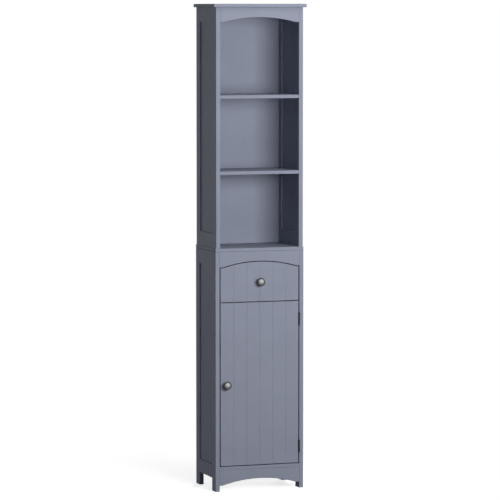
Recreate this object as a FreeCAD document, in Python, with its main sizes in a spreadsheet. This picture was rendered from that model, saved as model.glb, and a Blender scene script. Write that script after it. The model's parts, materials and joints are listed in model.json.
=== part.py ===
import FreeCAD, Part
import os
import re
import Sketcher

# Tall two-unit bathroom cabinet: open shelving over a lower unit with a drawer and a door.
# Millimetres. +Z is up, the front faces -Y and +X is to the right of someone who looks at the front.
# The origin is at the bottom centre of the whole object's box, knobs included.

SIZES = {
    # carcass
    "total_height": 1700,
    "upper_width": 320,
    "lower_width": 325,
    "carcass_depth": 220,
    "lower_height": 852,
    "board_thickness": 12,
    "top_overhang": 10,
    "top_rounding": 3,
    "board_rounding": 2,
    "edge_rounding": 1.2,
    "edge_bevel": 1,
    # side frames
    "post_thickness": 15,
    "post_width": 40,
    "top_rail_height": 50,
    "lower_rail_height": 50,
    "bottom_rail_height": 47,
    "leg_clearance": 45,
    "panel_thickness": 6,
    "groove_depth": 6,
    "groove_play": 0.15,
    # arched front rails and apron
    "front_rail_thickness": 15,
    "arch_flat": 12,
    "upper_rail_height": 51.5,
    "upper_arch_rise": 17,
    "lower_rail_end_height": 54,
    "lower_arch_rise": 20,
    "apron_end_height": 54,
    "apron_arch_rise": 20,
    # boards and backs
    "upper_shelf_top": 1384,
    "middle_shelf_top": 1120,
    "shelf_setback": 1,
    "bottom_board_top": 87,
    "back_thickness": 4,
    "back_inset": 5,
    "inner_shelf_top": 381,
    "inner_shelf_setback": 20,
    "inner_shelf_play": 0.5,
    # fronts
    "front_thickness": 15,
    "front_gap": 2.5,
    "side_gap": 3,
    "drawer_end_height": 119.5,
    "plank_count": 6,
    "plank_groove_width": 3,
    "plank_groove_depth": 1.8,
    "front_bevel": 1.2,
    # drawer box
    "drawer_back_space": 23,
    "drawer_side_thickness": 12,
    "drawer_side_height": 85,
    "drawer_side_space": 5.5,
    "drawer_box_lift": 16,
    "drawer_bottom_thickness": 3,
    "drawer_bottom_lift": 10,
    "drawer_bottom_groove": 5,
    "runner_width": 12,
    "runner_height": 12,
    "runner_lift": 36,
    "runner_groove_depth": 7,
    "runner_end_space": 3,
    "running_play": 0.3,
    "drawer_stop_width": 40,
    "drawer_stop_thickness": 10,
    "drawer_stop_seat": 20,
    "drawer_stop_top": 25,
    # knobs and their screws
    "knob_radius": 14.5,
    "knob_reach": 24,
    "knob_base_radius": 7.5,
    "knob_base_height": 2,
    "knob_neck_radius": 4.6,
    "knob_neck_reach": 8,
    "knob_flare_radius": 8,
    "knob_flare_reach": 12,
    "knob_rim_depth": 1.7,
    "knob_rim_bevel": 1.3,
    "knob_face_radius": 4,
    "knob_dome_height": 5.3,
    "knob_dome_steps": 3,
    "knob_sides": 24,
    "knob_bore_depth": 12,
    "drawer_knob_rise": 69,
    "door_knob_drop": 1.5,
    "door_knob_inset": 20.5,
    "knob_screw_radius": 2,
    "knob_screw_reach": 10,
    "knob_screw_play": 0.1,
    "screw_hole_radius": 2.3,
    "screw_head_radius": 4,
    "screw_head_height": 2.4,
    # butt hinges
    "hinge_height": 45,
    "hinge_knuckles": 3,
    "upper_hinge_drop": 63,
    "lower_hinge_rise": 59,
    "knuckle_radius": 3,
    "knuckle_play": 0.3,
    "pin_radius": 1.5,
    "pin_play": 0.05,
    "leaf_thickness": 1.2,
    "leaf_depth": 12,
    "leaf_start": 0.4,
    # magnetic catch
    "catch_space": 36.5,
    "catch_width": 14,
    "catch_depth": 16,
    "catch_length": 45,
    "catch_recess": 0.8,
    "magnet_width": 6,
    "magnet_depth": 11,
    "magnet_length": 30,
    "strike_width": 14,
    "strike_length": 36,
    "strike_thickness": 1,
    "strike_inset": 1,
    "strike_corner": 2,
    # hidden fixings
    "dowel_radius": 4,
    "dowel_play": 0.1,
    "dowel_embed": 12,
    "dowel_board_depth": 10,
    "dowel_inset": 16,
    "cam_radius": 7.5,
    "cam_height": 8.7,
    "cam_play": 0.1,
    "cam_setback": 24,
    "pin_hole_radius": 2.6,
    "shelf_pin_radius": 2.5,
    "shelf_pin_length": 16,
    "shelf_pin_embed": 8,
    "shelf_pin_play": 0.1,
    "shelf_pin_inset": 28,
    # wall bracket
    "bracket_width": 30,
    "bracket_leg": 18,
    "bracket_thickness": 2,
    "bracket_rounding": 1.5,
    "bracket_hole_radius": 2.5,
    "bracket_hole_drop": 11,
    "wall_hole_radius": 3,
}

# Places worked out from the sizes; each may use other places.
PLACES = {
    "front": "(knob_reach - carcass_depth) / 2",
    "upper_inside": "upper_width / 2 - post_thickness",
    "lower_inside": "lower_width / 2 - post_thickness",
    "leg_top": "lower_height - board_thickness",
    "upper_post_height": "total_height - board_thickness - lower_height",
    "frame_gap": "carcass_depth - 2 * post_width",
    "rear_post": "carcass_depth - post_width",
    "panel_slot": "panel_thickness + 2 * groove_play",
    "slot_depth": "groove_depth + groove_play",
    "back_slot": "back_thickness + 2 * groove_play",
    "back_face": "carcass_depth - back_inset - groove_play - back_thickness",
    "bottom_board_base": "bottom_board_top - board_thickness",
    "front_half_width": "lower_inside - side_gap",
    "lower_arch_end": "lower_inside - arch_flat",
    "lower_rail_base": "leg_top - lower_rail_end_height",
    "drawer_front_bottom": "lower_rail_base - front_gap - drawer_end_height",
    "door_base": "bottom_board_top + front_gap",
    "door_height": "drawer_front_bottom - front_gap - door_base",
    "plank_width": "2 * front_half_width / plank_count",
    "drawer_depth": "back_face - drawer_back_space",
    "box_half_width": "lower_inside - drawer_side_space",
    "box_base": "drawer_front_bottom + drawer_box_lift",
    "box_inside": "box_half_width - drawer_side_thickness",
    "box_side_length": "drawer_depth - front_thickness",
    "box_back_face": "drawer_depth - drawer_side_thickness",
    "drawer_stop_base": "box_base + drawer_side_height - drawer_stop_seat",
    "bottom_groove_top": "drawer_bottom_lift + drawer_bottom_thickness + 2 * groove_play",
    "hinge_x": "lower_inside - side_gap / 2",
    "hinge_y": "front - knuckle_radius",
    "upper_hinge_base": "door_base + door_height - upper_hinge_drop - hinge_height / 2",
    "lower_hinge_base": "door_base + lower_hinge_rise - hinge_height / 2",
    "knuckle_step": "hinge_height / hinge_knuckles",
    "leaf_outer": "side_gap / 2",
    "catch_height": "inner_shelf_top + catch_space + catch_length / 2",
    "magnet_face": "front_thickness + strike_thickness + running_play",
    "dowel_x": "(upper_width + lower_width) / 4 - post_thickness / 2",
    "door_knob_x": "door_knob_inset - front_half_width",
    "door_knob_rise": "door_height / 2 - door_knob_drop",
    "knob_rim_front": "knob_reach - knob_dome_height",
    "knob_rim_back": "knob_rim_front - knob_rim_bevel - knob_rim_depth",
    "knob_rim_inner": "knob_radius - knob_rim_bevel",
    "shelf_pin_height": "inner_shelf_top - board_thickness - shelf_pin_radius - shelf_pin_play",
    "bracket_hole_height": "upper_post_height - bracket_hole_drop",
}

TOUCH = 0.001  # points this near to each other are the same point
SIDES = (("left", -1), ("right", 1))
BOARD_EDGES = [f"{side} {face}" for side in ("-y", "-x", "+x") for face in ("-z", "+z")]

document = FreeCAD.newDocument("TallCabinet")
sheet = document.addObject("Spreadsheet::Sheet", "Sizes")
for row, (size_name, size) in enumerate(SIZES.items(), start=1):
    sheet.set(f"A{row}", size_name)
    sheet.set(f"B{row}", str(size))
    sheet.setAlias(f"B{row}", size_name)
document.recompute()

pieces = []


# --- formulas on the sheet -------------------------------------------------------------------------

def formula(text):
    """Write the names of sizes and places in a text out as an expression on the sheet."""
    def written_out(match):
        name = match.group()
        if name in PLACES:
            return f"({formula(PLACES[name])})"
        return f"Sizes.{name}" if name in SIZES else name
    return re.sub(r"[a-z][a-z_]*", written_out, str(text))


def value(text):
    """The number that a text of sizes and places comes to."""
    return float(sheet.evalExpression(formula(text)))


def bind(thing, prop, text):
    """Tie one property of an object to a text of sizes and places."""
    thing.setExpression(prop, formula(text))


def place(thing, x=0, y=0, z=0):
    """Put a piece at its place in the cabinet."""
    for axis, text in (("x", x), ("y", y), ("z", z)):
        bind(thing, f"Placement.Base.{axis}", text)
    return thing


# --- sketches --------------------------------------------------------------------------------------

def new_body(name):
    """A body of its own for one piece."""
    body = document.addObject("PartDesign::Body", name)
    body.Label = name
    pieces.append(body)
    return body


def new_sketch(body, plane, offset):
    """A sketch on one of the body's own origin planes, moved along that plane's normal."""
    sketch = body.newObject("Sketcher::SketchObject", f"{body.Name}_sketch")
    support = [feature for feature in body.Origin.OriginFeatures if feature.Role == plane][0]
    sketch.AttachmentSupport = [(support, "")]
    sketch.MapMode = "FlatFace"
    bind(sketch, "AttachmentOffset.Base.z", offset)
    return sketch


def hold_point(sketch, geometry, end, x, y):
    """Dimension one point of a sketch from the sketch's origin."""
    for kind, text in (("DistanceX", x), ("DistanceY", y)):
        index = sketch.addConstraint(Sketcher.Constraint(kind, -1, 1, geometry, end, value(text)))
        bind(sketch, f"Constraints[{index}]", text)


def nearest_end(sketch, geometry, point):
    """Which end of a line or an arc lies at a point: 1 for its start, 2 for its end."""
    gaps = [sketch.getPoint(geometry, end).distanceToPoint(point) for end in (1, 2)]
    return 1 + gaps.index(min(gaps))


def draw_outline(sketch, corners, arcs):
    """A closed outline through dimensioned corners. arcs gives a point that an edge bends through."""
    points = [FreeCAD.Vector(value(x), value(y), 0) for x, y in corners]
    count = len(points)
    for edge, start in enumerate(points):
        end = points[(edge + 1) % count]
        if edge in arcs:
            bend = FreeCAD.Vector(value(arcs[edge][0]), value(arcs[edge][1]), 0)
            sketch.addGeometry(Part.Arc(start, bend, end))
        else:
            sketch.addGeometry(Part.LineSegment(start, end))
    for edge, point in enumerate(points):
        here = nearest_end(sketch, edge, point)
        before = (edge - 1) % count
        there = nearest_end(sketch, before, point)
        sketch.addConstraint(Sketcher.Constraint("Coincident", edge, here, before, there))
        hold_point(sketch, edge, here, *corners[edge])
    for edge, bend in arcs.items():
        middle = sketch.addGeometry(Part.Point(FreeCAD.Vector(value(bend[0]), value(bend[1]), 0)), True)
        sketch.addConstraint(Sketcher.Constraint("PointOnObject", middle, 1, edge))
        hold_point(sketch, middle, 1, *bend)


def draw_circles(sketch, centres, radius):
    """Circles of one radius at dimensioned centres."""
    for x, y in centres:
        centre = FreeCAD.Vector(value(x), value(y), 0)
        circle = Part.Circle(centre, FreeCAD.Vector(0, 0, 1), value(radius))
        index = sketch.addGeometry(circle)
        hold_point(sketch, index, 3, x, y)
        size = sketch.addConstraint(Sketcher.Constraint("Radius", index, value(radius)))
        bind(sketch, f"Constraints[{size}]", radius)


def box_corners(x_low, x_high, y_low, y_high):
    """The four corners of a rectangle."""
    return [(x_low, y_low), (x_high, y_low), (x_high, y_high), (x_low, y_high)]


# --- features --------------------------------------------------------------------------------------

def pad(body, corners, length, plane="XY_Plane", offset=0, arcs=None, turned=False):
    """Raise an outline to a solid, along the plane's normal or, turned, against it."""
    sketch = new_sketch(body, plane, offset)
    draw_outline(sketch, corners, arcs or {})
    feature = body.newObject("PartDesign::Pad", f"{body.Name}_pad")
    feature.Profile = sketch
    feature.Reversed = turned
    bind(feature, "Length", length)
    body.Tip = feature
    document.recompute()
    return feature


def cut(body, sketch, depth, turned):
    """Sink a drawn sketch into the body, against its normal or, turned, along it."""
    before = body.Shape.Volume
    feature = body.newObject("PartDesign::Pocket", f"{body.Name}_pocket")
    feature.Profile = sketch
    feature.Reversed = turned
    if depth is None:
        feature.Type = "ThroughAll"
    else:
        bind(feature, "Length", depth)
    body.Tip = feature
    document.recompute()
    if not body.Shape.Volume < before - TOUCH:
        raise ValueError(f"{body.Label}: a pocket cuts nothing")
    return feature


def pocket(body, corners, depth, plane="XY_Plane", offset=0, turned=False):
    """Cut an outlined groove or recess; with no depth it goes right through."""
    sketch = new_sketch(body, plane, offset)
    draw_outline(sketch, corners, {})
    return cut(body, sketch, depth, turned)


def bore(body, centres, radius, depth, plane="XY_Plane", offset=0, turned=False):
    """Drill holes of one radius; with no depth they go right through."""
    sketch = new_sketch(body, plane, offset)
    draw_circles(sketch, centres, radius)
    return cut(body, sketch, depth, turned)


def revolve(body, corners):
    """Turn an outline about the body's Y axis."""
    sketch = new_sketch(body, "XY_Plane", 0)
    draw_outline(sketch, corners, {})
    feature = body.newObject("PartDesign::Revolution", f"{body.Name}_turning")
    feature.Profile = sketch
    feature.ReferenceAxis = (sketch, ["V_Axis"])
    feature.Angle = 360
    body.Tip = feature
    document.recompute()


def facet_turning(name, profile, sides):
    """A turned form of flat facets: rings of corners at (radius, height) steps about the Z axis."""
    rings = []
    turns = [FreeCAD.Rotation(FreeCAD.Vector(0, 0, 1), 360 * step / sides) for step in range(sides)]
    for radius, height in profile:
        corner = FreeCAD.Vector(value(radius), 0, value(height))
        rings.append([turn.multVec(corner) for turn in turns])
    outlines = [rings[0], rings[-1]]
    for below, above in zip(rings, rings[1:]):
        outlines += [[below[step - 1], below[step], above[step], above[step - 1]] for step in range(sides)]
    faces = [Part.Face(Part.makePolygon([*outline, outline[0]])) for outline in outlines]
    form = document.addObject("Part::Feature", name)
    form.Shape = Part.Solid(Part.Shell(faces))
    return form


def edges_on(shape, *sides):
    """Names of the edges whose ends lie on all the named sides of the shape's box, such as -y."""
    low = FreeCAD.Vector(shape.BoundBox.XMin, shape.BoundBox.YMin, shape.BoundBox.ZMin)
    high = FreeCAD.Vector(shape.BoundBox.XMax, shape.BoundBox.YMax, shape.BoundBox.ZMax)
    names = []
    for number, edge in enumerate(shape.Edges, start=1):
        ends = [vertex.Point for vertex in edge.Vertexes]
        gaps = []
        for side in sides:
            axis = "xyz".index(side[1])
            limit = low[axis] if side[0] == "-" else high[axis]
            gaps += [abs(end[axis] - limit) for end in ends]
        if max(gaps) < TOUCH:
            names.append(f"Edge{number}")
    return names


def ease(body, kind, prop, size, groups):
    """Work the edges that lie on the named sides; a text with several sides means all of them."""
    eased = body.Tip
    names = []
    for sides in groups:
        names += [name for name in edges_on(eased.Shape, *sides.split()) if name not in names]
    feature = body.newObject(f"PartDesign::{kind}", f"{body.Name}_{kind.lower()}")
    feature.Base = (eased, names)
    bind(feature, prop, size)
    body.Tip = feature
    document.recompute()


def round_over(body, radius, *groups):
    """Round the edges on the named sides."""
    ease(body, "Fillet", "Radius", radius, groups)


def bevel(body, size, *groups):
    """Bevel the edges on the named sides."""
    ease(body, "Chamfer", "Size", size, groups)


def make_box(name, x, y, z, low=(0, 0, 0)):
    """A plain block with its low corner at a point of the piece's own frame."""
    block = document.addObject("Part::Box", name)
    for prop, text in (("Length", x), ("Width", y), ("Height", z)):
        bind(block, prop, text)
    return place(block, *low)


def make_cylinder(name, radius, length, base=(0, 0, 0), along="z"):
    """A round bar from a point of the piece's own frame, along one axis."""
    bar = document.addObject("Part::Cylinder", name)
    turns = {"x": (FreeCAD.Vector(0, 1, 0), 90), "y": (FreeCAD.Vector(1, 0, 0), -90)}
    if along in turns:
        bar.Placement.Rotation = FreeCAD.Rotation(*turns[along])
    bind(bar, "Radius", radius)
    bind(bar, "Height", length)
    return place(bar, *base)


def fuse(name, members):
    """Join members to one solid."""
    joined = document.addObject("Part::MultiFuse", name)
    joined.Shapes = members
    joined.Refine = True
    return joined


def cut_away(name, base, tools):
    """Take several tools away from a base, one after another."""
    left = base
    for number, tool in enumerate(tools):
        last = number == len(tools) - 1
        step = document.addObject("Part::Cut", name if last else f"{name}_cut_{number}")
        step.Base = left
        step.Tool = tool
        left = step
    return left


def group(name, members):
    """Several separate solids under one name."""
    compound = document.addObject("Part::Compound", name)
    compound.Links = members
    return keep(compound, name)


def keep(thing, name):
    """Label a finished piece and list it for writing."""
    thing.Label = name
    pieces.append(thing)
    return thing


# --- boards, rails and side frames -----------------------------------------------------------------

def make_board(name, half_width, y_low, y_high, thickness, z):
    """A level board, centred in X, between two distances from the cabinet's front."""
    body = new_body(name)
    corners = box_corners(f"-({half_width})", half_width, y_low, y_high)
    pad(body, corners, thickness)
    place(body, 0, "front", z)
    return body


def cut_cam_pockets(body, half_width):
    """Blind holes for the cam discs in a board's underside."""
    spots = cam_spots(half_width)
    bore(body, spots, "cam_radius + cam_play", "cam_height + cam_play", turned=True)


def cam_spots(half_width):
    """Where a board's two cam discs sit, beside the front posts, from its middle and the cabinet's front."""
    return [(f"{side} * ({half_width} - cam_setback)", "post_width / 2") for side in (-1, 1)]


def make_top_board():
    """The overhanging top, rounded along its front and sides."""
    half_width = "upper_width / 2 + top_overhang"
    body = make_board("top_board", half_width, "-top_overhang", "carcass_depth", "board_thickness",
                      "total_height - board_thickness")
    round_over(body, "top_rounding", *BOARD_EDGES)


def make_lower_top_board():
    """The lower unit's top, which the upper unit stands on over two dowels."""
    body = make_board("lower_top_board", "lower_width / 2", 0, "carcass_depth", "board_thickness",
                      "leg_top")
    round_over(body, "board_rounding", *BOARD_EDGES)
    bore(body, dowel_spots(), "dowel_radius + dowel_play", "dowel_board_depth + dowel_play",
         offset="board_thickness")


def dowel_spots():
    """Where the two dowels between the units stand, from the middle and the cabinet's front."""
    return [(f"{side} * dowel_x", "dowel_inset") for side in (-1, 1)]


def make_fixed_shelf(name, half_width, y_low, top):
    """A fixed board between the side frames, held by cam locks from below."""
    body = make_board(name, half_width, y_low, "back_face", "board_thickness",
                      f"{top} - board_thickness")
    round_over(body, "edge_rounding", "-y -z", "-y +z")
    cut_cam_pockets(body, half_width)


def make_back_panel(name, half_width, z, height):
    """A thin back, let into the grooves of the rear posts."""
    return make_board(name, f"{half_width} + groove_depth", "back_face", "back_face + back_thickness",
                      height, z)


def make_arched_rail(name, half_width, end_height, rise, z):
    """An upright rail whose lower edge arches up between two short flats."""
    body = new_body(name)
    arch_end = f"({half_width} - arch_flat)"
    corners = [(f"-({half_width})", 0), (f"-{arch_end}", 0), (arch_end, 0), (half_width, 0),
               (half_width, end_height), (f"-({half_width})", end_height)]
    pad(body, corners, "front_rail_thickness", "XZ_Plane", arcs={1: (0, rise)}, turned=True)
    bevel(body, "edge_bevel", "-y -z")
    place(body, 0, "front", z)


def make_post(name, side, unit, rear):
    """One upright of a side frame, grooved for the panel and, at the rear, for the back."""
    upper = unit == "upper"
    height = "upper_post_height" if upper else "leg_top"
    body = new_body(name)
    half = "post_thickness / 2"
    pad(body, box_corners(f"-{half}", half, 0, "post_width"), height)
    outer_face = "+y" if rear else "-y"
    round_over(body, "edge_rounding", f"{outer_face} -x", f"{outer_face} +x")
    groove = ("0", "slot_depth") if rear else ("post_width - slot_depth", "post_width")
    pocket(body, box_corners("-panel_slot / 2", "panel_slot / 2", *groove), None,
           offset=0 if upper else "leg_clearance", turned=True)
    inner = f"{-side} * post_thickness / 2"
    if rear:
        back_low = "back_face - rear_post - groove_play"
        corners = box_corners(f"{inner} + {side} * slot_depth", inner, back_low, f"{back_low} + back_slot")
        pocket(body, corners, None, offset=0 if upper else "bottom_board_base", turned=True)
    middle = f"{side} * ({unit}_width / 2 - post_thickness / 2)"
    if upper and not rear:
        bore(body, [(f"{side} * dowel_x - {middle}", "dowel_inset")], "dowel_radius + dowel_play",
             "dowel_embed + dowel_play", turned=True)
    if not upper:
        pin_y = "post_width - shelf_pin_inset" if rear else "shelf_pin_inset"
        bore(body, [(pin_y, "shelf_pin_height")], "pin_hole_radius", "shelf_pin_embed + shelf_pin_play",
             "YZ_Plane", inner, turned=side > 0)
    place(body, middle, "front + rear_post" if rear else "front", "lower_height" if upper else 0)


def make_side_rail(name, middle, height, z, groove_on_top):
    """A cross rail of a side frame, with a tenon at each end and a groove for the panel."""
    body = new_body(name)
    half, tenon, reach, span = "post_thickness / 2", "panel_thickness / 2", "groove_depth", "frame_gap"
    corners = [(f"-{half}", 0), (f"-{tenon}", 0), (f"-{tenon}", f"-{reach}"), (tenon, f"-{reach}"),
               (tenon, 0), (half, 0), (half, span), (tenon, span), (tenon, f"{span} + {reach}"),
               (f"-{tenon}", f"{span} + {reach}"), (f"-{tenon}", span), (f"-{half}", span)]
    pad(body, corners, height)
    slot = box_corners("-panel_slot / 2", "panel_slot / 2", "-slot_depth", f"{span} + slot_depth")
    if groove_on_top:
        pocket(body, slot, "slot_depth", offset=height)
    else:
        pocket(body, slot, "slot_depth", turned=True)
    place(body, middle, "front + post_width", z)


def make_side_frame(unit, side_name, side):
    """One side of a unit: two posts, two cross rails and the thin panel between them."""
    upper = unit == "upper"
    kind = "post" if upper else "leg"
    title = f"{unit}_{side_name}"
    make_post(f"{title}_front_{kind}", side, unit, rear=False)
    make_post(f"{title}_rear_{kind}", side, unit, rear=True)
    middle = f"{side} * ({unit}_width / 2 - post_thickness / 2)"
    top = "total_height - board_thickness" if upper else "leg_top"
    base = "lower_height" if upper else "leg_clearance"
    top_height = "top_rail_height" if upper else "lower_rail_height"
    base_height = "lower_rail_height" if upper else "bottom_rail_height"
    make_side_rail(f"{title}_top_rail", middle, top_height, f"{top} - {top_height}", groove_on_top=False)
    make_side_rail(f"{title}_bottom_rail", middle, base_height, base, groove_on_top=True)
    panel = new_body(f"{title}_panel")
    corners = box_corners("-panel_thickness / 2", "panel_thickness / 2", "-groove_depth",
                          "frame_gap + groove_depth")
    panel_base = f"{base} + {base_height} - groove_depth"
    pad(panel, corners, f"{top} - {top_height} + groove_depth - ({panel_base})")
    place(panel, middle, "front + post_width", panel_base)


# --- drawer and door -------------------------------------------------------------------------------

def cut_plank_grooves(body):
    """Upright V grooves that part a front into equal planks."""
    first = "plank_width - front_half_width"
    corners = [(f"{first} - plank_groove_width", "-plank_groove_depth"),
               (f"{first} + plank_groove_width", "-plank_groove_depth"), (first, "plank_groove_depth")]
    groove = pocket(body, corners, None, offset="-front_gap", turned=True)
    before = body.Shape.Volume
    pattern = body.newObject("PartDesign::LinearPattern", f"{body.Name}_planks")
    pattern.Originals = [groove]
    pattern.Direction = (groove.Profile[0], ["H_Axis"])
    bind(pattern, "Length", "(plank_count - 2) * plank_width")
    bind(pattern, "Occurrences", "plank_count - 1")
    body.Tip = pattern
    document.recompute()
    if not body.Shape.Volume < before - TOUCH:
        raise ValueError(f"{body.Label}: the planks' pattern cuts nothing")


def make_drawer_front():
    """The drawer's front: planked, with an arched top that follows the rail above it."""
    body = new_body("drawer_front")
    arch_top = "drawer_end_height + lower_arch_rise"
    corners = [("-front_half_width", 0), ("front_half_width", 0), ("front_half_width", "drawer_end_height"),
               ("lower_arch_end", "drawer_end_height"), ("-lower_arch_end", "drawer_end_height"),
               ("-front_half_width", "drawer_end_height")]
    pad(body, corners, "front_thickness", "XZ_Plane", arcs={3: (0, arch_top)}, turned=True)
    bevel(body, "front_bevel", "-y")
    cut_plank_grooves(body)
    slot = box_corners("-box_inside - drawer_bottom_groove", "box_inside + drawer_bottom_groove",
                       "drawer_box_lift + drawer_bottom_lift", "drawer_box_lift + bottom_groove_top")
    pocket(body, slot, "drawer_bottom_groove", "XZ_Plane", "-front_thickness", turned=True)
    bore(body, [(0, "drawer_knob_rise")], "screw_hole_radius", None, "XZ_Plane",
         "front_thickness")
    place(body, 0, "front", "drawer_front_bottom")


def make_drawer_side(side_name, side):
    """One drawer side: a runner groove outside and a groove for the bottom inside."""
    body = new_body(f"drawer_{side_name}_side")
    inner = f"{-side} * drawer_side_thickness"
    runner_cut = f"{-side} * runner_groove_depth"
    bottom_cut = f"{inner} + {side} * drawer_bottom_groove"
    runner_low, runner_high = "runner_lift - running_play", "runner_lift + runner_height + running_play"
    corners = [(0, 0), (0, runner_low), (runner_cut, runner_low), (runner_cut, runner_high),
               (0, runner_high), (0, "drawer_side_height"), (inner, "drawer_side_height"),
               (inner, "bottom_groove_top"), (bottom_cut, "bottom_groove_top"),
               (bottom_cut, "drawer_bottom_lift"), (inner, "drawer_bottom_lift"), (inner, 0)]
    pad(body, corners, "box_side_length", "XZ_Plane", turned=True)
    place(body, f"{side} * box_half_width", "front + front_thickness", "box_base")


def make_drawer_back():
    """The drawer's back, between its sides, grooved for the bottom."""
    body = new_body("drawer_back")
    depth, top = "drawer_side_thickness", "drawer_side_height"
    corners = [(0, 0), (depth, 0), (depth, top), (0, top), (0, "bottom_groove_top"),
               ("drawer_bottom_groove", "bottom_groove_top"), ("drawer_bottom_groove", "drawer_bottom_lift"),
               (0, "drawer_bottom_lift")]
    pad(body, corners, "2 * box_inside", "YZ_Plane", "-box_inside")
    place(body, 0, "front + box_back_face", "box_base")


def make_drawer_bottom():
    """The thin drawer bottom, in the grooves of the front, the sides and the back."""
    make_board("drawer_bottom", "box_inside + drawer_bottom_groove - groove_play",
               "front_thickness - drawer_bottom_groove + groove_play",
               "box_back_face + drawer_bottom_groove - groove_play", "drawer_bottom_thickness",
               "box_base + drawer_bottom_lift + groove_play")


def make_drawer_stop():
    """A block on the drawer's back that meets the arched rail when the drawer is out."""
    body = new_body("drawer_stop")
    half = "drawer_stop_width / 2"
    corners = box_corners(f"-{half}", half, 0, "leg_top - drawer_stop_top - drawer_stop_base")
    pad(body, corners, "drawer_stop_thickness", "XZ_Plane")
    place(body, 0, "front + box_back_face", "drawer_stop_base")


def make_runner(side_name, side):
    """A wooden batten across one lower side frame, which the drawer side hangs on."""
    body = new_body(f"{side_name}_runner")
    inner = f"{-side} * runner_width"
    corners = box_corners(0, inner, "front_thickness + running_play", "back_face - runner_end_space")
    pad(body, corners, "runner_height")
    place(body, f"{side} * lower_inside", "front", "box_base + runner_lift")


def make_door_panel():
    """The door: one planked panel, drilled for its knob."""
    body = new_body("door_panel")
    corners = box_corners("-front_half_width", "front_half_width", 0, "door_height")
    pad(body, corners, "front_thickness", "XZ_Plane", turned=True)
    bevel(body, "front_bevel", "-y")
    cut_plank_grooves(body)
    bore(body, [("door_knob_x", "door_knob_rise")], "screw_hole_radius", None, "XZ_Plane",
         "front_thickness")
    place(body, 0, "front", "door_base")


def make_knob(name, x, z):
    """A knob: base, waisted neck and a bevelled rim round a domed face, bored for its screw."""
    steps = round(value("knob_dome_steps"))
    dome = [(f"knob_face_radius + (knob_rim_inner - knob_face_radius) * {step} / {steps}",
             f"knob_reach - knob_dome_height * ({step} / {steps})^2") for step in range(steps, -1, -1)]
    profile = [("knob_base_radius", 0), ("knob_base_radius", "knob_base_height"),
               ("knob_neck_radius", "knob_neck_reach"), ("knob_flare_radius", "knob_flare_reach"),
               ("knob_rim_inner", "knob_rim_back - knob_rim_bevel"), ("knob_radius", "knob_rim_back"),
               ("knob_radius", "knob_rim_front - knob_rim_bevel"), *dome]
    form = facet_turning(f"{name}_form", profile, round(value("knob_sides")))
    hole = make_cylinder(f"{name}_bore", "knob_screw_radius + knob_screw_play", "knob_bore_depth")
    knob = cut_away(name, form, [hole])
    knob.Placement.Rotation = FreeCAD.Rotation(FreeCAD.Vector(1, 0, 0), 90)
    place(knob, x, "front", z)
    keep(knob, name)


def make_knob_screw(name, x, z):
    """The pan-head screw that holds a knob from behind the front."""
    body = new_body(name)
    shank, head, back = "knob_screw_radius", "screw_head_radius", "front_thickness"
    head_top = f"{back} + screw_head_height"
    corners = [(0, "-knob_screw_reach"), (shank, "-knob_screw_reach"), (shank, back), (head, back),
               (head, head_top), (0, head_top)]
    revolve(body, corners)
    place(body, x, "front", z)


# --- hinges and catch ------------------------------------------------------------------------------

def make_leaf(name, side, first_knuckle, z):
    """A hinge leaf with every second knuckle of the barrel; its own frame is on the pin's axis."""
    x_low = "leaf_outer - leaf_thickness" if side > 0 else "-leaf_outer"
    plate_y = "knuckle_radius + leaf_start"
    members = [make_box(f"{name}_plate", "leaf_thickness", "leaf_depth", "hinge_height",
                        (x_low, plate_y, 0))]
    for number in range(first_knuckle, round(value("hinge_knuckles")), 2):
        base = f"{number} * knuckle_step + knuckle_play / 2"
        height = "knuckle_step - knuckle_play"
        members.append(make_cylinder(f"{name}_knuckle_{number}", "knuckle_radius", height, (0, 0, base)))
        members.append(make_box(f"{name}_web_{number}", "leaf_thickness", f"{plate_y} + leaf_thickness",
                                height, (x_low, 0, base)))
    hole = make_cylinder(f"{name}_bore", "pin_radius + pin_play", "hinge_height")
    leaf = cut_away(name, fuse(f"{name}_joined", members), [hole])
    place(leaf, "hinge_x", "hinge_y", z)
    return keep(leaf, name)


def make_hinge(title, z):
    """One butt hinge: a leaf on the frame, a leaf on the door and the pin they turn on."""
    make_leaf(f"{title}_hinge_frame_leaf", 1, 0, z)
    make_leaf(f"{title}_hinge_door_leaf", -1, 1, z)
    name = f"{title}_hinge_pin"
    keep(make_cylinder(name, "pin_radius", "hinge_height", ("hinge_x", "hinge_y", z)), name)


def make_catch():
    """The magnetic catch: a housing on the left leg with a magnet let into its front."""
    housing = make_box("catch_block", "catch_width", "catch_depth", "catch_length")
    slot = make_box("catch_slot", "magnet_width", "magnet_depth", "magnet_length",
                    ("(catch_width - magnet_width) / 2", 0, "(catch_length - magnet_length) / 2"))
    catch = cut_away("magnetic_catch", housing, [slot])
    low = ("-lower_inside", "front + magnet_face + catch_recess", "catch_height - catch_length / 2")
    place(catch, *low)
    keep(catch, "magnetic_catch")
    magnet = make_box("catch_magnet", "magnet_width", "magnet_depth + catch_recess", "magnet_length",
                      ("(catch_width - magnet_width) / 2 - lower_inside", "front + magnet_face",
                       "catch_height - magnet_length / 2"))
    keep(magnet, "catch_magnet")
    strike = new_body("strike_plate")
    corners = box_corners(0, "strike_width", 0, "strike_length")
    pad(strike, corners, "strike_thickness", "XZ_Plane", turned=True)
    round_over(strike, "strike_corner", "-x -z", "-x +z", "+x -z", "+x +z")
    place(strike, "strike_inset - front_half_width", "front + front_thickness",
          "catch_height - strike_length / 2")


# --- small fixings ---------------------------------------------------------------------------------

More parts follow.
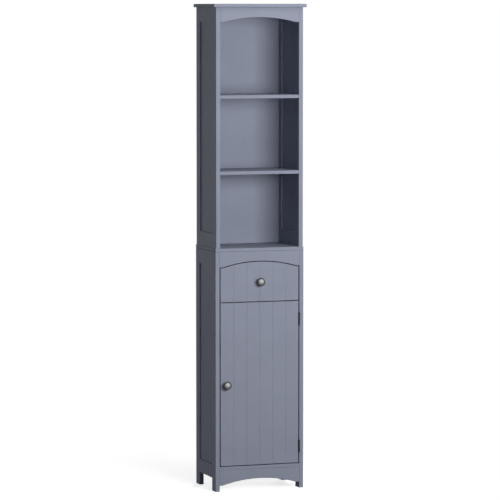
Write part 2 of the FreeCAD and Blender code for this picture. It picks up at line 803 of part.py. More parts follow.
def make_cam_locks():
    """The cam discs in the undersides of the fixed boards."""
    boards = (("upper_inside", "upper_shelf_top"), ("upper_inside", "middle_shelf_top"),
              ("lower_inside", "bottom_board_top"))
    cams = []
    for half_width, top in boards:
        for x, y in cam_spots(half_width):
            cams.append(make_cylinder(f"cam_{len(cams)}", "cam_radius", "cam_height",
                                      (x, f"front + {y}", f"{top} - board_thickness")))
    group("cam_locks", cams)


def make_unit_dowels():
    """The dowels in the lower unit's top that align the upper unit."""
    length = "dowel_board_depth + dowel_embed"
    dowels = [make_cylinder(f"dowel_{number}", "dowel_radius", length,
                            (x, f"front + {y}", "lower_height - dowel_board_depth"))
              for number, (x, y) in enumerate(dowel_spots())]
    group("unit_dowels", dowels)


def make_shelf_pins():
    """The four pins that carry the loose shelf."""
    pins = []
    seat = "lower_inside + shelf_pin_embed"
    for start in (f"-({seat})", f"{seat} - shelf_pin_length"):
        for y in ("shelf_pin_inset", "carcass_depth - shelf_pin_inset"):
            base = (start, f"front + {y}", "shelf_pin_height")
            pins.append(make_cylinder(f"shelf_pin_{len(pins)}", "shelf_pin_radius", "shelf_pin_length",
                                      base, "x"))
    group("shelf_pins", pins)


def make_wall_bracket():
    """The angle under the top board whose upright leg takes the wall screw."""
    body = new_body("anti_tip_bracket")
    leg, sheet_metal = "bracket_leg", "bracket_thickness"
    corners = [(0, 0), (0, f"-{leg}"), (f"-{sheet_metal}", f"-{leg}"), (f"-{sheet_metal}", f"-{sheet_metal}"),
               (f"-{leg}", f"-{sheet_metal}"), (f"-{leg}", 0)]
    pad(body, corners, "bracket_width", "YZ_Plane", "-bracket_width / 2")
    round_over(body, "bracket_rounding", "+y +z")
    bore(body, [(0, "-bracket_hole_drop")], "bracket_hole_radius", None, "XZ_Plane", sheet_metal)
    place(body, 0, "front + back_face", "total_height - board_thickness")


# --- the cabinet -----------------------------------------------------------------------------------

make_top_board()
for unit in ("upper", "lower"):
    for side_name, side in SIDES:
        make_side_frame(unit, side_name, side)
make_arched_rail("upper_front_rail", "upper_inside", "upper_rail_height", "upper_arch_rise",
                 "total_height - board_thickness - upper_rail_height")
make_fixed_shelf("upper_shelf", "upper_inside", "shelf_setback", "upper_shelf_top")
make_fixed_shelf("middle_shelf", "upper_inside", "shelf_setback", "middle_shelf_top")
upper_back = make_back_panel("upper_back_panel", "upper_inside", "lower_height", "upper_post_height")
bore(upper_back, [(0, "bracket_hole_height")], "wall_hole_radius", None, "XZ_Plane", "-back_face")
make_wall_bracket()

make_lower_top_board()
make_arched_rail("lower_front_rail", "lower_inside", "lower_rail_end_height", "lower_arch_rise",
                 "lower_rail_base")
make_fixed_shelf("bottom_board", "lower_inside", 0, "bottom_board_top")
make_arched_rail("apron", "lower_inside", "apron_end_height", "apron_arch_rise",
                 "bottom_board_base - apron_end_height")
make_back_panel("lower_back_panel", "lower_inside", "bottom_board_base", "leg_top - bottom_board_base")
inner_shelf = make_board("inner_shelf", "lower_inside - inner_shelf_play", "inner_shelf_setback",
                         "back_face - inner_shelf_play", "board_thickness",
                         "inner_shelf_top - board_thickness")
round_over(inner_shelf, "edge_rounding", "-y -z", "-y +z")
make_cam_locks()
make_unit_dowels()
make_shelf_pins()

make_drawer_front()
for side_name, side in SIDES:
    make_drawer_side(side_name, side)
    make_runner(side_name, side)
make_drawer_back()
make_drawer_bottom()
make_drawer_stop()
make_knob("drawer_knob", 0, "drawer_front_bottom + drawer_knob_rise")
make_knob_screw("drawer_knob_screw", 0, "drawer_front_bottom + drawer_knob_rise")

make_door_panel()
make_knob("door_knob", "door_knob_x", "door_base + door_knob_rise")
make_knob_screw("door_knob_screw", "door_knob_x", "door_base + door_knob_rise")
make_hinge("upper", "upper_hinge_base")
make_hinge("lower", "lower_hinge_base")
make_catch()
document.recompute()

# --- check and write -------------------------------------------------------------------------------

for thing in document.Objects:
    if "Invalid" in thing.State or "Error" in thing.State:
        raise ValueError(f"{thing.Label} did not compute")
for piece in pieces:
    if piece.Shape.isNull() or not piece.Shape.isValid():
        raise ValueError(f"{piece.Label} has no sound shape")

os.makedirs("parts", exist_ok=True)
for piece in pieces:
    piece.Shape.exportStep(f"parts/{piece.Label}.step")
print(f"{len(pieces)} pieces written")
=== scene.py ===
import json
import math

import bmesh
import bpy
from mathutils import Matrix, Vector


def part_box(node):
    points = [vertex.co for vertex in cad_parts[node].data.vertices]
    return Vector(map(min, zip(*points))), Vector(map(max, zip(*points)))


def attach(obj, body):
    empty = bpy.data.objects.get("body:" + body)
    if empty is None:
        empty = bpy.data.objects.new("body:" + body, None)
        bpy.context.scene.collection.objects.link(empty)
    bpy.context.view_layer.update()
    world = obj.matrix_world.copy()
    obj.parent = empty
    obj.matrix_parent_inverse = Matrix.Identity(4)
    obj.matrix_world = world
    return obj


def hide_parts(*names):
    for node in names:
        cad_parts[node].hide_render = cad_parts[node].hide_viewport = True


# Looks of a tall two-unit bathroom cabinet, in metres: satin paint on board, pewter knobs, dark butt
# hinges and the small fixings. The front faces -Y, +Z is up and +X is to the right.

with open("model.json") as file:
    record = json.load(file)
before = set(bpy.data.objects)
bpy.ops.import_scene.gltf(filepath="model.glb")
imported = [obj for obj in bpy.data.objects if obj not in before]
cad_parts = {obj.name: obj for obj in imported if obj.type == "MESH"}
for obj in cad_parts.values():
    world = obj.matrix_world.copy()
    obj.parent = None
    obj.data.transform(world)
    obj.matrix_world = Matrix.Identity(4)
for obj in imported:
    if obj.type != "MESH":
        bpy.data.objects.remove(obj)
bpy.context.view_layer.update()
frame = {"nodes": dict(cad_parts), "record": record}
SLOT_OF = {part["node"]: part["material_slot"] for part in frame["record"]["subparts"]}

MM = 0.001
SAME_POINT = 0.001 * MM


# --- shader building blocks ------------------------------------------------------------------------

def new_material(name):
    """A material with its Principled shader and its object coordinates."""
    material = bpy.data.materials.new(name)
    material.use_nodes = True
    nodes = material.node_tree.nodes
    place = nodes.new("ShaderNodeTexCoord").outputs["Object"]
    return material, nodes["Principled BSDF"], place


def link(material, output, socket):
    material.node_tree.links.new(output, socket)


def noise(material, place, scale, detail=3, roughness=0.5, stretch=(1, 1, 1)):
    """Noise in object space; scale is in features per metre."""
    nodes = material.node_tree.nodes
    mapping = nodes.new("ShaderNodeMapping")
    mapping.inputs["Scale"].default_value = stretch
    texture = nodes.new("ShaderNodeTexNoise")
    texture.inputs["Scale"].default_value = scale
    texture.inputs["Detail"].default_value = detail
    texture.inputs["Roughness"].default_value = roughness
    link(material, place, mapping.inputs["Vector"])
    link(material, mapping.outputs["Vector"], texture.inputs["Vector"])
    return texture.outputs["Fac"]


def spread(material, value, low, high, start=0.3, end=0.7):
    """Map a value from start to end, which is a noise's middle range, onto low to high."""
    node = material.node_tree.nodes.new("ShaderNodeMapRange")
    for name, number in (("From Min", start), ("From Max", end), ("To Min", low), ("To Max", high)):
        node.inputs[name].default_value = number
    link(material, value, node.inputs["Value"])
    return node.outputs["Result"]


def openness(material, reach, own_form_only):
    """1 in the clear and towards 0 in gaps and grooves: of any pieces, or only of the piece's own form."""
    node = material.node_tree.nodes.new("ShaderNodeAmbientOcclusion")
    node.samples = 8
    node.only_local = own_form_only
    node.inputs["Distance"].default_value = reach
    return node.outputs["AO"]


def ratio(material, value, other):
    """One value divided by another."""
    node = material.node_tree.nodes.new("ShaderNodeMath")
    node.operation = "DIVIDE"
    link(material, value, node.inputs[0])
    link(material, other, node.inputs[1])
    return node.outputs[0]


def tinted(material, factor, first, second):
    """A colour between two colour outputs or plain colours."""
    node = material.node_tree.nodes.new("ShaderNodeMix")
    node.data_type = "RGBA"
    link(material, factor, node.inputs["Factor"])
    for name, colour in (("A", first), ("B", second)):
        if isinstance(colour, tuple):
            node.inputs[name].default_value = (*colour, 1)
        else:
            link(material, colour, node.inputs[name])
    return node.outputs["Result"]


def bump(material, shader, height, distance):
    """Surface relief, distance metres high."""
    node = material.node_tree.nodes.new("ShaderNodeBump")
    node.inputs["Strength"].default_value = 1
    node.inputs["Distance"].default_value = distance
    link(material, height, node.inputs["Height"])
    link(material, node.outputs["Normal"], shader.inputs["Normal"])


def shade(colour, share):
    """A colour made darker or lighter by a share."""
    return tuple(channel * share for channel in colour)


# --- materials -------------------------------------------------------------------------------------

PAINT = (0.259, 0.280, 0.353)
# The paint made 3% lighter: painted light that brightens the back panels at the back of the bays; the drawer
# box uses the same lighter copy.
PAINT_WITH_PAINTED_LIGHT = shade(PAINT, 1.03)
PAINT_GLOSS = 0.02
PAINT_CLOUDING = 0.03
PAINT_ROUGHNESS_CHANGE = 0.04
# Painted shade: the paint turns nearly black deep in the gaps between pieces, found by ambient occlusion
# within this reach.
PAINTED_SHADING_REACH = 6 * MM
GAP_PAINTED_SHADE = 0.05
GAP_PAINTED_SHADE_OPENNESS = (0.1, 0.5)
# Painted light: the paint is made lighter in a piece's own grooves and hollows, so that they stay faint.
GROOVE_PAINTED_LIGHT = 1.4
GROOVE_PAINTED_LIGHT_OPENNESS = (0.4, 0.95)
METAL_RELIEF = 0.02 * MM
WOOD_RELIEF = 0.08 * MM
PLASTIC_RELIEF = 0.01 * MM


def paint_material(name, colour, roughness, peel):
    """Sprayed paint on board: faint clouding, uneven gloss and a fine orange-peel surface. Painted light
    makes it lighter in a piece's own grooves, so that they stay faint, and painted shade makes it nearly
    black deep in the gaps between pieces."""
    material, shader, place = new_material(name)
    shader.inputs["Specular IOR Level"].default_value = PAINT_GLOSS
    clouds = spread(material, noise(material, place, scale=9, detail=2), 0, 1)
    coat = tinted(material, clouds, shade(colour, 1 - PAINT_CLOUDING), shade(colour, 1 + PAINT_CLOUDING))
    own_form = openness(material, PAINTED_SHADING_REACH, own_form_only=True)
    any_form = openness(material, PAINTED_SHADING_REACH, own_form_only=False)
    clear_of_painted_groove_light = spread(material, own_form, 0, 1, *GROOVE_PAINTED_LIGHT_OPENNESS)
    clear_of_painted_gap_shade = spread(material, ratio(material, any_form, own_form), 0, 1, *GAP_PAINTED_SHADE_OPENNESS)
    # Painted light: lighter paint in the piece's own grooves.
    coat = tinted(material, clear_of_painted_groove_light, shade(colour, GROOVE_PAINTED_LIGHT), coat)
    # Painted shade: nearly black paint in the gaps between pieces.
    coat = tinted(material, clear_of_painted_gap_shade, shade(colour, GAP_PAINTED_SHADE), coat)
    link(material, coat, shader.inputs["Base Color"])
    gloss = spread(material, noise(material, place, scale=55), roughness - PAINT_ROUGHNESS_CHANGE,
                   roughness + PAINT_ROUGHNESS_CHANGE)
    link(material, gloss, shader.inputs["Roughness"])
    bump(material, shader, noise(material, place, scale=420, detail=2), peel)
    return material


def metal_material(name, colours, roughness, painted_highlight_colours=None):
    """Worn metal between two colours and two roughnesses, as its patina goes. Where a mesh attribute marks
    it, lighter colours are painted on as a highlight."""
    material, shader, place = new_material(name)
    patina = noise(material, place, scale=300, detail=4, roughness=0.6)
    patches = spread(material, patina, 0, 1)
    colour = tinted(material, patches, *colours)
    if painted_highlight_colours:
        # Painted highlight: lighter metal where the mesh's attribute marks it.
        painted_dome_highlight = material.node_tree.nodes.new("ShaderNodeAttribute")
        painted_dome_highlight.attribute_name = "painted_dome_highlight"
        painted_highlight_colour = tinted(material, patches, *painted_highlight_colours)
        colour = tinted(material, painted_dome_highlight.outputs["Fac"], colour, painted_highlight_colour)
    link(material, colour, shader.inputs["Base Color"])
    link(material, spread(material, patina, *roughness), shader.inputs["Roughness"])
    shader.inputs["Metallic"].default_value = 1
    bump(material, shader, patina, METAL_RELIEF)
    return material


def wood_material(name, colours, roughness):
    """Sanded, unpainted softwood with its grain along Y."""
    material, shader, place = new_material(name)
    grain = noise(material, place, scale=220, detail=5, roughness=0.65, stretch=(1, 0.05, 1))
    link(material, tinted(material, spread(material, grain, 0, 1), *colours), shader.inputs["Base Color"])
    shader.inputs["Roughness"].default_value = roughness
    bump(material, shader, grain, WOOD_RELIEF)
    return material


def plastic_material(name, colour, roughness):
    """Moulded plastic with a fine spark-eroded surface."""
    material, shader, place = new_material(name)
    grain = noise(material, place, scale=900, detail=2)
    colour = tinted(material, spread(material, grain, 0, 1), shade(colour, 0.96), colour)
    link(material, colour, shader.inputs["Base Color"])
    shader.inputs["Roughness"].default_value = roughness
    bump(material, shader, grain, PLASTIC_RELIEF)
    return material


MATERIALS = {
    "paint": paint_material("paint", PAINT, roughness=0.42, peel=0.03 * MM),
    "back_paint": paint_material("back_paint", PAINT_WITH_PAINTED_LIGHT, roughness=0.55, peel=0.05 * MM),
    "drawer_paint": paint_material("drawer_paint", PAINT_WITH_PAINTED_LIGHT, roughness=0.5, peel=0.02 * MM),
    "bare_wood": wood_material("bare_wood", colours=((0.42, 0.28, 0.15), (0.62, 0.46, 0.28)), roughness=0.7),
    # The knob's lighter dome colours are a painted highlight.
    "knob_metal": metal_material("knob_metal", colours=((0.03, 0.031, 0.03), (0.065, 0.067, 0.064)),
                                 roughness=(0.72, 0.6),
                                 painted_highlight_colours=((0.27, 0.28, 0.275), (0.37, 0.38, 0.37))),
    "hinge_metal": metal_material("hinge_metal", colours=((0.022, 0.023, 0.027), (0.06, 0.062, 0.07)),
                                  roughness=(0.5, 0.37)),
    "zinc": metal_material("zinc", colours=((0.50, 0.51, 0.52), (0.68, 0.69, 0.70)), roughness=(0.38, 0.25)),
    "catch_plastic": plastic_material("catch_plastic", (0.78, 0.78, 0.75), roughness=0.45),
    "magnet": plastic_material("magnet", (0.06, 0.06, 0.07), roughness=0.55),
}


# --- the frame's own nodes -------------------------------------------------------------------------

FINE_EDGE = 0.4 * MM
EDGE_WEAR = {"paint": 0.65 * MM, "bare_wood": 0.8 * MM, "catch_plastic": 1 * MM}
FLAT_WITHIN = math.radians(0.5)
SHARP_FROM = math.radians(30)


def smooth(mesh):
    for polygon in mesh.polygons:
        polygon.use_smooth = True


def wear_edges(thing, width):
    """Merge a piece's flat faces, round its sharp edges a little and shade the flat faces flat."""
    weld = thing.modifiers.new("weld", "WELD")
    weld.merge_threshold = SAME_POINT
    merge = thing.modifiers.new("whole_faces", "DECIMATE")
    merge.decimate_type = "DISSOLVE"
    merge.angle_limit = FLAT_WITHIN
    rounded = thing.modifiers.new("soft_edges", "BEVEL")
    rounded.width = width
    rounded.segments = 2
    rounded.limit_method = "ANGLE"
    rounded.angle_limit = SHARP_FROM
    rounded.miter_outer = "MITER_ARC"
    shading = thing.modifiers.new("shading", "WEIGHTED_NORMAL")
    shading.weight = 100
    shading.keep_sharp = True


def dress(node):
    """Give a node its slot's material and softly worn edges."""
    thing = frame["nodes"][node]
    thing.data.materials.clear()
    thing.data.materials.append(MATERIALS[SLOT_OF[node]])
    smooth(thing.data)
    wear_edges(thing, EDGE_WEAR.get(SLOT_OF[node], FINE_EDGE))


for node in frame["nodes"]:
    dress(node)


# --- mesh building blocks --------------------------------------------------------------------------

def add_piece(name, bm, body, slot, replaced=()):
    """Turn a bmesh into a piece that rides on a body, in its slot's material."""
    bmesh.ops.recalc_face_normals(bm, faces=bm.faces)
    mesh = bpy.data.meshes.new(name)
    bm.to_mesh(mesh)
    bm.free()
    smooth(mesh)
    mesh.materials.append(MATERIALS[slot])
    piece = bpy.data.objects.new(name, mesh)
    bpy.context.scene.collection.objects.link(piece)
    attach(piece, body)
    if replaced:
        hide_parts(*replaced)


def lathe(profile, segments):
    """A closed turned form about Z from (radius, height) points, which start and end on the axis."""
    bm = bmesh.new()
    turns = [2 * math.pi * step / segments for step in range(segments)]
    rings = []
    for radius, height in profile:
        if radius == 0:
            rings.append([bm.verts.new((0, 0, height))])
        else:
            rings.append([bm.verts.new((radius * math.cos(turn), radius * math.sin(turn), height))
                          for turn in turns])
    for below, above in zip(rings, rings[1:]):
        for step in range(segments):
            after = (step + 1) % segments
            corners = [below[step % len(below)], below[after % len(below)],
                       above[after % len(above)], above[step % len(above)]]
            bm.faces.new(dict.fromkeys(corners))
    return bm


def bezier(start, bend, end, steps):
    """Points along a curve from start to end, drawn towards a bend; the start itself is left out."""
    points = []
    for step in range(1, steps + 1):
        share = step / steps
        points.append(tuple((1 - share) ** 2 * s + 2 * share * (1 - share) * b + share ** 2 * e
                            for s, b, e in zip(start, bend, end)))
    return points


def block(low, high):
    """A box between two corners."""
    bm = bmesh.new()
    bmesh.ops.create_cube(bm, size=1)
    bmesh.ops.scale(bm, vec=Vector(high) - Vector(low), verts=bm.verts)
    bmesh.ops.translate(bm, vec=(Vector(low) + Vector(high)) / 2, verts=bm.verts)
    return bm


def facing(place, direction):
    """A matrix that takes a form built up along Z to a place, with its top in a direction."""
    turn = Vector((0, 0, 1)).rotation_difference(Vector(direction)).to_matrix().to_4x4()
    return Matrix.Translation(Vector(place)) @ turn


def set_at(bm, place, direction):
    """Move a form built up along Z to a place, with its top in a direction."""
    bmesh.ops.transform(bm, matrix=facing(place, direction), verts=bm.verts)
    return bm


def join(parts):
    """One bmesh out of several."""
    whole = bmesh.new()
    for part in parts:
        scrap = bpy.data.meshes.new("scrap")
        part.to_mesh(scrap)
        part.free()
        whole.from_mesh(scrap)
        bpy.data.meshes.remove(scrap)
    return whole


def carve(bm, cutter):
    """Take one bmesh away from another."""
    things = []
    for part in (bm, cutter):
        bmesh.ops.recalc_face_normals(part, faces=part.faces)
        mesh = bpy.data.meshes.new("scrap")
        part.to_mesh(mesh)
        part.free()
        things.append(bpy.data.objects.new("scrap", mesh))
        bpy.context.scene.collection.objects.link(things[-1])
    cut = things[0].modifiers.new("cut", "BOOLEAN")
    cut.object = things[1]
    cut.solver = "EXACT"
    graph = bpy.context.evaluated_depsgraph_get()
    carved = bmesh.new()
    carved.from_mesh(things[0].evaluated_get(graph).data)
    for thing in things:
        bpy.data.meshes.remove(thing.data)
    return carved


def loose_boxes(node):
    """The (low, high) box of each separate solid of a node, in the order of their low corners."""
    bm = bmesh.new()
    bm.from_mesh(frame["nodes"][node].data)
    bmesh.ops.remove_doubles(bm, verts=bm.verts, dist=SAME_POINT)
    left, boxes = set(bm.verts), []
    while left:
        found, front = set(), {left.pop()}
        while front:
            vertex = front.pop()
            found.add(vertex)
            front |= {edge.other_vert(vertex) for edge in vertex.link_edges} - found
        left -= found
        corners = [vertex.co for vertex in found]
        boxes.append(tuple(Vector(pick(corner[axis] for corner in corners) for axis in range(3))
                           for pick in (min, max)))
    bm.free()
    return sorted(boxes, key=lambda box: box[0].to_tuple())


# --- knobs -----------------------------------------------------------------------------------------

KNOB_SEGMENTS = 96
KNOB_FOOT_RADIUS = 7.5 * MM
KNOB_FOOT_HEIGHT = 2 * MM
KNOB_FOOT_ROUND = 0.5 * MM
KNOB_FOOT_CHAMFER = 0.3 * MM
KNOB_WAIST_RADIUS = 4.6 * MM
KNOB_WAIST_REACH = 8 * MM
KNOB_NECK_BEND = 0.5 * MM
KNOB_RIM_ROLL = 1.3 * MM
KNOB_RIM_HALF = 1.6 * KNOB_RIM_ROLL
KNOB_RIM_BEND = 0.3 * MM
KNOB_RIM_WIDTH = 2.6 * MM
KNOB_RIM_STEP = 0.7 * MM
KNOB_LIP_WIDTH = 0.4 * MM
KNOB_LIP_DROP = 0.15 * MM
KNOB_LIP_BEND = 0.2 * MM
KNOB_DOME = 5 * MM
KNOB_DOME_FULLNESS = 0.62
# How far out the knob dome's painted highlight reaches, and how it fades towards the rim.
PAINTED_HIGHLIGHT_OUT_TO = 0.84
PAINTED_HIGHLIGHT_FADE = 0.16


def knob_profile(radius, reach):
    """Foot, waisted neck, rolled rim, the step inside it and the dome."""
    rim_front = reach - KNOB_DOME
    rim_middle = rim_front - KNOB_RIM_HALF
    rim_back = rim_middle - KNOB_RIM_HALF
    inner = radius - KNOB_RIM_WIDTH
    foot_edge = (KNOB_FOOT_RADIUS, KNOB_FOOT_HEIGHT - KNOB_FOOT_ROUND)
    foot_top = (KNOB_FOOT_RADIUS - KNOB_FOOT_ROUND, KNOB_FOOT_HEIGHT)
    waist = (KNOB_WAIST_RADIUS, KNOB_WAIST_REACH)
    back = (radius - KNOB_RIM_ROLL, rim_back)
    widest = (radius, rim_middle)
    front = (radius - KNOB_RIM_ROLL, rim_front)
    lip = (inner + KNOB_LIP_WIDTH, rim_front - KNOB_LIP_DROP)
    step = (inner, rim_front - KNOB_RIM_STEP)
    profile = [(0, 0), (KNOB_FOOT_RADIUS - KNOB_FOOT_CHAMFER, 0), (KNOB_FOOT_RADIUS, KNOB_FOOT_CHAMFER),
               foot_edge]
    profile += bezier(foot_edge, (KNOB_FOOT_RADIUS, KNOB_FOOT_HEIGHT), foot_top, 3)
    profile += bezier(foot_top, (KNOB_WAIST_RADIUS, KNOB_FOOT_HEIGHT), waist, 6)
    profile += bezier(waist, (KNOB_WAIST_RADIUS, rim_back - KNOB_NECK_BEND), back, 8)
    profile += bezier(back, (radius, rim_back + KNOB_RIM_BEND), widest, 5)
    profile += bezier(widest, (radius, rim_front), front, 5)
    profile += [lip]
    profile += bezier(lip, (inner, rim_front - KNOB_LIP_BEND), step, 3)
    profile += bezier(step, (KNOB_DOME_FULLNESS * inner, reach), (0, reach), 12)
    profile[-1] = (0, reach)
    return profile


def make_knob(node, body):
    """A turned knob in place of the node, with a painted highlight marked on its dome."""
    low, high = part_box(node)
    radius, reach = (high.x - low.x) / 2, high.y - low.y
    middle = (low + high) / 2
    knob = lathe(knob_profile(radius, reach), KNOB_SEGMENTS)
    # The painted highlight: full in the middle of the dome, fading out towards its rim.
    painted_dome_highlight = knob.verts.layers.float.new("painted_dome_highlight")
    for vertex in knob.verts:
        out = math.hypot(vertex.co.x, vertex.co.y) / radius
        on_face = vertex.co.z > reach - KNOB_DOME
        vertex[painted_dome_highlight] = min(1, max(0, (PAINTED_HIGHLIGHT_OUT_TO - out) / PAINTED_HIGHLIGHT_FADE)) if on_face else 0
    set_at(knob, (middle.x, high.y, middle.z), (0, -1, 0))
    add_piece(f"turned_{node}", knob, body, "knob_metal", [node])


# --- screws and cams -------------------------------------------------------------------------------

PAN_SEGMENTS = 40
FLUSH_SEGMENTS = 32
CAM_SEGMENTS = 48
SCREW_EDGE = 0.1 * MM
CROSS_TAPER = 0.6
CAM_CHAMFER = 0.4 * MM
LEAF_DEPTH = 12 * MM
LEAF_THICKNESS = 1.2 * MM
LEAF_SCREW_SPACING = 27 * MM
CATCH_SCREW_INSET = 4 * MM
BRACKET_THICKNESS = 2 * MM
BRACKET_SCREW_INSET = 7 * MM
BRACKET_SCREW_SPACING = 17 * MM


def with_cross(form, width, length, depth, top):
    """Cut a driver's cross, narrower at its bottom, into the top of a turned form."""
    for x_size, y_size in ((length, width), (width, length)):
        arm = block((-x_size / 2, -y_size / 2, top - depth), (x_size / 2, y_size / 2, top + depth))
        for vertex in arm.verts:
            if vertex.co.z < top:
                vertex.co.x *= CROSS_TAPER
                vertex.co.y *= CROSS_TAPER
        form = carve(form, arm)
    return form


def pan_screw(head_radius, head_height, shank_radius, shank_length):
    """A pan-head screw; its head sits on the plane Z = 0 and its shank goes down."""
    tip = (0.7 * shank_radius, -shank_length)
    shank_end = (shank_radius, -0.9 * shank_length)
    rim = (head_radius, 0.45 * head_height)
    crown = (0.35 * head_radius, head_height)
    profile = [(0, -shank_length), tip, shank_end, (shank_radius, 0), (head_radius - SCREW_EDGE, 0),
               (head_radius, SCREW_EDGE), rim]
    profile += bezier(rim, (head_radius, head_height), crown, 6)
    profile += [(0, head_height)]
    return with_cross(lathe(profile, PAN_SEGMENTS), width=0.24 * head_radius, length=1.1 * head_radius,
                      depth=0.5 * head_height, top=head_height)


def flush_screw(head_radius, rise, depth):
    """A countersunk head that stands a little proud of the plane Z = 0."""
    neck = (0.45 * head_radius, -depth)
    flat = (0.85 * head_radius, rise)
    profile = [(0, -depth), neck, (head_radius, -SCREW_EDGE), (head_radius, 0.3 * rise), flat, (0, rise)]
    return with_cross(lathe(profile, FLUSH_SEGMENTS), width=0.26 * head_radius, length=1.2 * head_radius,
                      depth=0.5 * depth, top=rise)


def make_knob_screw(node, body):
    """A pan-head screw in place of the node. Its head is on the back of the drawer's front or the door, which
    are flush."""
    low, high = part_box(node)
    middle = (low + high) / 2
    head_radius = (high.x - low.x) / 2
    front_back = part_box("drawer_front")[1].y
    screw = pan_screw(head_radius, head_height=high.y - front_back, shank_radius=0.5 * head_radius,
                      shank_length=front_back - low.y)
    set_at(screw, (middle.x, front_back, middle.z), (0, 1, 0))
    add_piece(f"crossed_{node}", screw, body, "zinc", [node])


def make_cams():
    """Cam discs with a chamfered rim and a driver's cross, seen from below."""
    discs = []
    for low, high in loose_boxes("cam_locks"):
        middle = (low + high) / 2
        radius, height = (high.x - low.x) / 2, high.z - low.z
        inner = radius - CAM_CHAMFER
        profile = [(0, 0), (inner, 0), (radius, CAM_CHAMFER), (radius, height - CAM_CHAMFER),
                   (inner, height), (0, height)]
        disc = lathe(profile, CAM_SEGMENTS)
        disc = with_cross(disc, width=1.6 * MM, length=8 * MM, depth=2 * MM, top=height)
        discs.append(set_at(disc, (middle.x, middle.y, high.z), (0, 0, -1)))
    add_piece("crossed_cam_locks", join(discs), "root", "zinc", ["cam_locks"])


def make_leaf_screws(node, body, inward):
    """Two countersunk screws in a hinge leaf, nearly flush with the face that the other leaf closes on."""
    low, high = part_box(node)
    face = high.x - LEAF_THICKNESS if inward < 0 else low.x + LEAF_THICKNESS
    screws = []
    for end in (-1, 1):
        screw = flush_screw(head_radius=2.6 * MM, rise=0.12 * MM, depth=1 * MM)
        height = (low.z + high.z) / 2 + end * LEAF_SCREW_SPACING / 2
        screws.append(set_at(screw, (face, high.y - LEAF_DEPTH / 2, height), (inward, 0, 0)))
    add_piece(f"{node}_screws", join(screws), body, "hinge_metal")


def make_catch_screws():
    """Two small screws in the catch's ends."""
    low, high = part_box("magnetic_catch")
    screws = []
    for height in (low.z + CATCH_SCREW_INSET, high.z - CATCH_SCREW_INSET):
        screw = pan_screw(head_radius=2.6 * MM, head_height=1.3 * MM, shank_radius=1.2 * MM,
                          shank_length=10 * MM)
        screws.append(set_at(screw, (high.x, (low.y + high.y) / 2, height), (1, 0, 0)))
    add_piece("magnetic_catch_screws", join(screws), "root", "zinc")


def make_strike_screw():
    """One countersunk screw in the strike plate."""
    low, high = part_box("strike_plate")
    middle = (low + high) / 2
    screw = flush_screw(head_radius=3 * MM, rise=0.1 * MM, depth=0.9 * MM)
    set_at(screw, (middle.x, high.y, middle.z), (0, 1, 0))
    add_piece("strike_plate_screw", screw, "door", "zinc")


def make_bracket_screws():
    """Two screws that hold the wall bracket up to the top board."""
    low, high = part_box("anti_tip_bracket")
    screws = []
    for side in (-1, 1):
        screw = pan_screw(head_radius=3 * MM, head_height=1.8 * MM, shank_radius=1.5 * MM,
                          shank_length=9 * MM)
        across = (low.x + high.x) / 2 + side * BRACKET_SCREW_SPACING / 2
        place = (across, low.y + BRACKET_SCREW_INSET, high.z - BRACKET_THICKNESS)
        screws.append(set_at(screw, place, (0, 0, -1)))
    add_piece("anti_tip_bracket_screws", join(screws), "root", "zinc")


for body in ("drawer", "door"):
    make_knob(f"{body}_knob", body)
for body in ("drawer", "door"):
    make_knob_screw(f"{body}_knob_screw", body)
make_cams()
for title in ("upper", "lower"):
    make_leaf_screws(f"{title}_hinge_frame_leaf", "root", -1)
    make_leaf_screws(f"{title}_hinge_door_leaf", "door", 1)
make_catch_screws()
make_strike_screw()
make_bracket_screws()


# --- floor, light and camera -----------------------------------------------------------------------

FLOOR_HALF_WIDTH = 6
FLOOR_SEEN = 0.8
FLOOR_GLOW = 0.72
FLOOR_BOUNCE = 0.4
FLOOR_FADE_START = 0.35
FLOOR_FADE_END = 1.0
CAMERA_PLACE = (-3.459, -10.0, 1.675)
CAMERA_TILT = math.radians(85.47)
CAMERA_TURN = math.radians(-19.07)
CAMERA_LENS_MM = 217.2
CAMERA_SENSOR_MM = 36


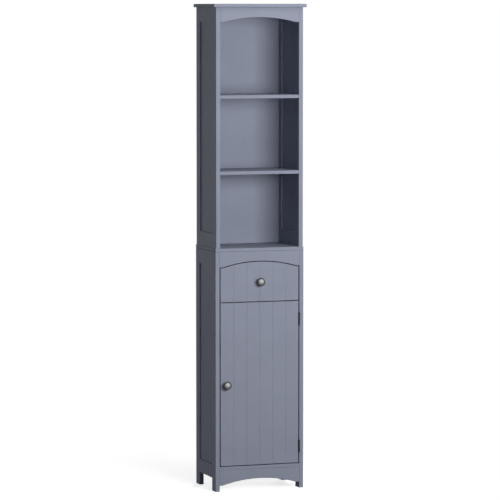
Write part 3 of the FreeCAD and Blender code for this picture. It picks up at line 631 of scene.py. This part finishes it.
def make_floor():
    """A pale floor that fades to plain white away from the cabinet and keeps its shadow near it. Only the
    camera sees it so pale; less light bounces off it."""
    mesh = bpy.data.meshes.new("floor")
    low, high = -FLOOR_HALF_WIDTH, FLOOR_HALF_WIDTH
    mesh.from_pydata([(low, low, 0), (high, low, 0), (high, high, 0), (low, high, 0)], [], [(0, 1, 2, 3)])
    floor = bpy.data.objects.new("floor", mesh)
    bpy.context.scene.collection.objects.link(floor)
    material = bpy.data.materials.new("floor")
    material.use_nodes = True
    nodes, links = material.node_tree.nodes, material.node_tree.links
    nodes.clear()
    diffuse = nodes.new("ShaderNodeBsdfDiffuse")
    diffuse.inputs["Color"].default_value = (FLOOR_SEEN, FLOOR_SEEN, FLOOR_SEEN, 1)
    bounce = nodes.new("ShaderNodeBsdfDiffuse")
    bounce.inputs["Color"].default_value = (FLOOR_BOUNCE, FLOOR_BOUNCE, FLOOR_BOUNCE, 1)
    glow = nodes.new("ShaderNodeEmission")
    glow.inputs["Strength"].default_value = FLOOR_GLOW
    both = nodes.new("ShaderNodeAddShader")
    white = nodes.new("ShaderNodeEmission")
    place = nodes.new("ShaderNodeTexCoord")
    far = nodes.new("ShaderNodeVectorMath")
    far.operation = "LENGTH"
    fade = nodes.new("ShaderNodeMapRange")
    fade.inputs["From Min"].default_value = FLOOR_FADE_START
    fade.inputs["From Max"].default_value = FLOOR_FADE_END
    seen = nodes.new("ShaderNodeMixShader")
    path = nodes.new("ShaderNodeLightPath")
    shown = nodes.new("ShaderNodeMixShader")
    output = nodes.new("ShaderNodeOutputMaterial")
    links.new(diffuse.outputs[0], both.inputs[0])
    links.new(glow.outputs[0], both.inputs[1])
    links.new(place.outputs["Object"], far.inputs[0])
    links.new(far.outputs["Value"], fade.inputs["Value"])
    links.new(fade.outputs["Result"], seen.inputs["Fac"])
    links.new(both.outputs[0], seen.inputs[1])
    links.new(white.outputs[0], seen.inputs[2])
    links.new(path.outputs["Is Camera Ray"], shown.inputs["Fac"])
    links.new(bounce.outputs[0], shown.inputs[1])
    links.new(seen.outputs[0], shown.inputs[2])
    links.new(shown.outputs[0], output.inputs["Surface"])
    mesh.materials.append(material)


def make_world(ambient):
    """White where the camera and reflections look, and a low plain light on everything else."""
    world = bpy.data.worlds.new("studio")
    bpy.context.scene.world = world
    world.use_nodes = True
    nodes, links = world.node_tree.nodes, world.node_tree.links
    nodes.clear()
    backgrounds = []
    for strength in (ambient, 1):
        background = nodes.new("ShaderNodeBackground")
        background.inputs["Color"].default_value = (1, 1, 1, 1)
        background.inputs["Strength"].default_value = strength
        backgrounds.append(background)
    path = nodes.new("ShaderNodeLightPath")
    direct = nodes.new("ShaderNodeMath")
    direct.operation = "MAXIMUM"
    any_view = nodes.new("ShaderNodeMath")
    any_view.operation = "MAXIMUM"
    mixed = nodes.new("ShaderNodeMixShader")
    output = nodes.new("ShaderNodeOutputWorld")
    links.new(path.outputs["Is Camera Ray"], direct.inputs[0])
    links.new(path.outputs["Is Glossy Ray"], direct.inputs[1])
    links.new(direct.outputs[0], any_view.inputs[0])
    links.new(path.outputs["Is Transmission Ray"], any_view.inputs[1])
    links.new(any_view.outputs[0], mixed.inputs["Fac"])
    for background, socket in zip(backgrounds, mixed.inputs[1:]):
        links.new(background.outputs[0], socket)
    links.new(mixed.outputs[0], output.inputs["Surface"])


def make_lamp(name, place, target, size, power):
    """A square soft box that faces a point."""
    data = bpy.data.lights.new(name, "AREA")
    data.shape = "SQUARE"
    data.size = size
    data.energy = power
    lamp = bpy.data.objects.new(name, data)
    lamp.location = place
    lamp.rotation_euler = (Vector(target) - Vector(place)).to_track_quat("-Z", "Y").to_euler()
    bpy.context.scene.collection.objects.link(lamp)


def make_camera():
    """The photograph's viewpoint: from the front left, at the height of the top board."""
    data = bpy.data.cameras.new("camera")
    data.lens = CAMERA_LENS_MM
    data.sensor_width = CAMERA_SENSOR_MM
    camera = bpy.data.objects.new("camera", data)
    camera.location = CAMERA_PLACE
    camera.rotation_euler = (CAMERA_TILT, 0, CAMERA_TURN)
    bpy.context.scene.collection.objects.link(camera)
    bpy.context.scene.camera = camera


make_floor()
make_world(ambient=0.065)
make_lamp("key", place=(0.75, -3.2, 1.5), target=(0, 0, 2.3), size=1.5, power=84)
make_lamp("front", place=(-0.1, -3.3, 1.5), target=(0, 0, 2.0), size=0.5, power=17)
make_lamp("fill", place=(-3.2, 1.2, 0.7), target=(0, 0, 0.5), size=1.2, power=13.5)
make_lamp("rear", place=(1.5, 3.2, 1.6), target=(0, 0, 0.9), size=1.2, power=45)
make_lamp("top", place=(0.2, -0.9, 3.0), target=(0, 0, 1.7), size=0.8, power=10)
make_camera()
bpy.context.scene.view_settings.view_transform = "Standard"
